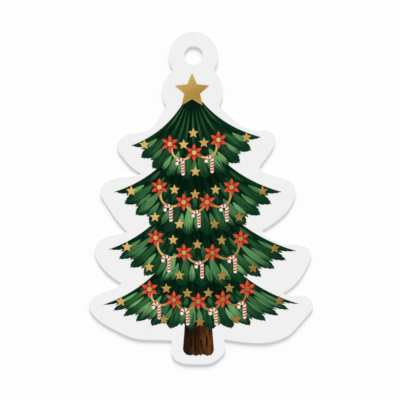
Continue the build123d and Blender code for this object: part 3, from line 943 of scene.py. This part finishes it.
def pale_surface(name, colour, one_sided):
    """A matt pale surface with a faint unevenness."""
    material, surface = new_finish(name, roughness=0.95, specular=0.05)
    place = shade(material, "TexCoord").outputs["Object"]
    cloud = shade(material, "TexNoise", {"Vector": place, "Scale": 9.0, "Detail": 2.0})
    dim = tuple(PAINT_DIM_SHARE * part for part in colour)
    tone = ramp(material, cloud.outputs["Fac"], [(0.3, dim), (0.7, colour)])
    coat(material, surface, {"Base Color": tone})
    if one_sided:
        clear = shade(material, "BsdfTransparent")
        facing = shade(material, "NewGeometry").outputs["Backfacing"]
        both = shade(material, "MixShader", {0: facing, 1: surface.outputs["BSDF"],
                                             2: clear.outputs["BSDF"]})
        output = material.node_tree.nodes["Material Output"]
        coat(material, output, {"Surface": both.outputs["Shader"]})
    return material


def flat_panel(name, corners, material):
    """A stage surface from its four corners, facing the way its corners turn."""
    mesh = bpy.data.meshes.new(name)
    mesh.from_pydata(corners, [], [(0, 1, 2, 3)])
    mesh.materials.append(material)
    panel = bpy.data.objects.new(name, mesh)
    bpy.context.collection.objects.link(panel)
    for kind in ("diffuse", "glossy", "transmission", "shadow", "volume_scatter"):
        setattr(panel, "visible_" + kind, False)


wall_y = back_face + WALL_GAP
flat_panel("pale_wall", [
    (-WALL_REACH, wall_y, WALL_MIDDLE - WALL_REACH),
    (WALL_REACH, wall_y, WALL_MIDDLE - WALL_REACH),
    (WALL_REACH, wall_y, WALL_MIDDLE + WALL_REACH),
    (-WALL_REACH, wall_y, WALL_MIDDLE + WALL_REACH),
], pale_surface("pale_wall_paint", WALL_PAINT, one_sided=True))
flat_panel("pale_floor", [
    (-FLOOR_REACH, -FLOOR_REACH, -FLOOR_DROP),
    (FLOOR_REACH, -FLOOR_REACH, -FLOOR_DROP),
    (FLOOR_REACH, FLOOR_REACH, -FLOOR_DROP),
    (-FLOOR_REACH, FLOOR_REACH, -FLOOR_DROP),
], pale_surface("pale_floor_paint", FLOOR_PAINT, one_sided=False))


# The light: a broad soft lamp high in front, a weaker one behind for the bare side, and an
# even room round them. In the foil that room shows a brighter side, up on the left, and a
# dimmer one, and it looks pale wherever it is seen past the floor.
ROOM_GREY = (0.645, 0.645, 0.645, 1.0)
ROOM_PALE = (0.975, 0.975, 0.975, 1.0)
DIM_WAY = (1.0, 0.0, -0.53)
ROOM_SIDES = [(0.0, (0.975, 0.975, 0.975)), (0.40, (1.12, 1.12, 1.12)), (0.466, (1.28, 1.23, 1.28)),
              (0.488, (1.12, 1.06, 1.11)), (0.502, (0.78, 0.70, 0.62)), (0.521, (0.45, 0.35, 0.25)),
              (0.548, (0.32, 0.215, 0.11)), (0.62, (0.36, 0.26, 0.16)),
              (0.80, (0.975, 0.975, 0.975))]


def soft_lamp(name, strength, spread, tilt, turn):
    """A broad far lamp: tilt is how far its beam leans from straight down, turn its way round."""
    lamp = bpy.data.lights.new(name, "SUN")
    lamp.energy = strength
    lamp.angle = math.radians(spread)
    holder = bpy.data.objects.new(name, lamp)
    holder.rotation_euler = (math.radians(tilt), 0.0, math.radians(turn))
    bpy.context.collection.objects.link(holder)


soft_lamp("key_lamp", strength=2.00, spread=30.0, tilt=35.0, turn=0.0)
soft_lamp("back_lamp", strength=1.25, spread=40.0, tilt=78.0, turn=160.0)

room = bpy.data.worlds.new("even_room")
room.use_nodes = True
bpy.context.scene.world = room
even = room.node_tree.nodes["Background"]
even.inputs["Color"].default_value = ROOM_GREY
way = shade(room, "VectorMath", {0: shade(room, "TexCoord").outputs["Generated"], 1: DIM_WAY},
            operation="DOT_PRODUCT")
turn = shade(room, "MapRange", {"Value": way.outputs["Value"], "From Min": -1.0, "From Max": 1.0})
sides = shade(room, "Background", {"Color": ramp(room, turn.outputs["Result"], ROOM_SIDES)})
pale = shade(room, "Background", {"Color": ROOM_PALE})
path = shade(room, "LightPath")
mirrored = shade(room, "Math", {0: path.outputs["Is Glossy Ray"],
                                1: path.outputs["Is Transmission Ray"]}, operation="MAXIMUM")
shine = shade(room, "MixShader", {0: mirrored.outputs["Value"], 1: even.outputs["Background"],
                                  2: sides.outputs["Background"]})
seen = shade(room, "MixShader", {0: path.outputs["Is Camera Ray"], 1: shine.outputs["Shader"],
                                 2: pale.outputs["Background"]})
coat(room, room.node_tree.nodes["World Output"], {"Surface": seen.outputs["Shader"]})

bpy.context.scene.view_settings.view_transform = "Standard"


# The camera: square on to the printed face, through a long lens, with the tag's face
# filling the frame as in the photograph.
FRAME_WIDTH = 0.10837
FRAME_ACROSS = 0.00176
FRAME_UP = -0.03916
LENS = 135.0
NEAREST_SEEN = 0.01
lens = bpy.data.cameras.new("camera")
lens.lens = LENS
lens.clip_start = NEAREST_SEEN
camera = bpy.data.objects.new("camera", lens)
camera.location = (FRAME_ACROSS, card_face - FRAME_WIDTH * LENS / lens.sensor_width, FRAME_UP)
camera.rotation_euler = (math.radians(90), 0.0, 0.0)
bpy.context.collection.objects.link(camera)
bpy.context.scene.camera = camera
